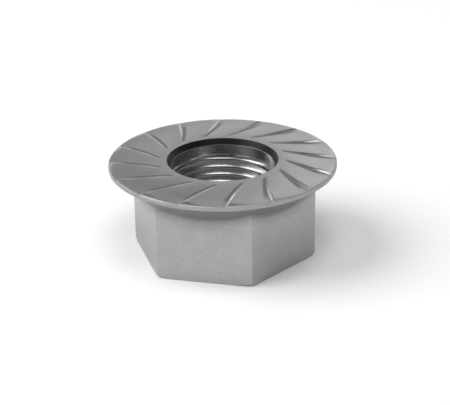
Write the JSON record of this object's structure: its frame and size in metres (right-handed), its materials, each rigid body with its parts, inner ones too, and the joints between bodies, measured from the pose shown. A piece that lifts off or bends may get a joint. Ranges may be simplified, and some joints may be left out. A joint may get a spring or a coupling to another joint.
{
  "type": "serrated flange nut",
  "caption": "Hexagon nut with a wide dished flange, ratchet teeth on the bearing face and a wide, finely threaded bore.",
  "frame": {"origin": "centre of the hexagon's end face, on which the nut stands", "axes": "+Z along the bore from the hexagon's end to the ratchet face, +X through a corner of the hexagon"},
  "size_m": [0.0178, 0.0178, 0.0077],
  "materials": {
    "nut_steel": "satin bright steel, evenly grey"
  },
  "bodies": {
    "root": {"flange_nut": "nut_steel"}
  },
  "joints": []
}
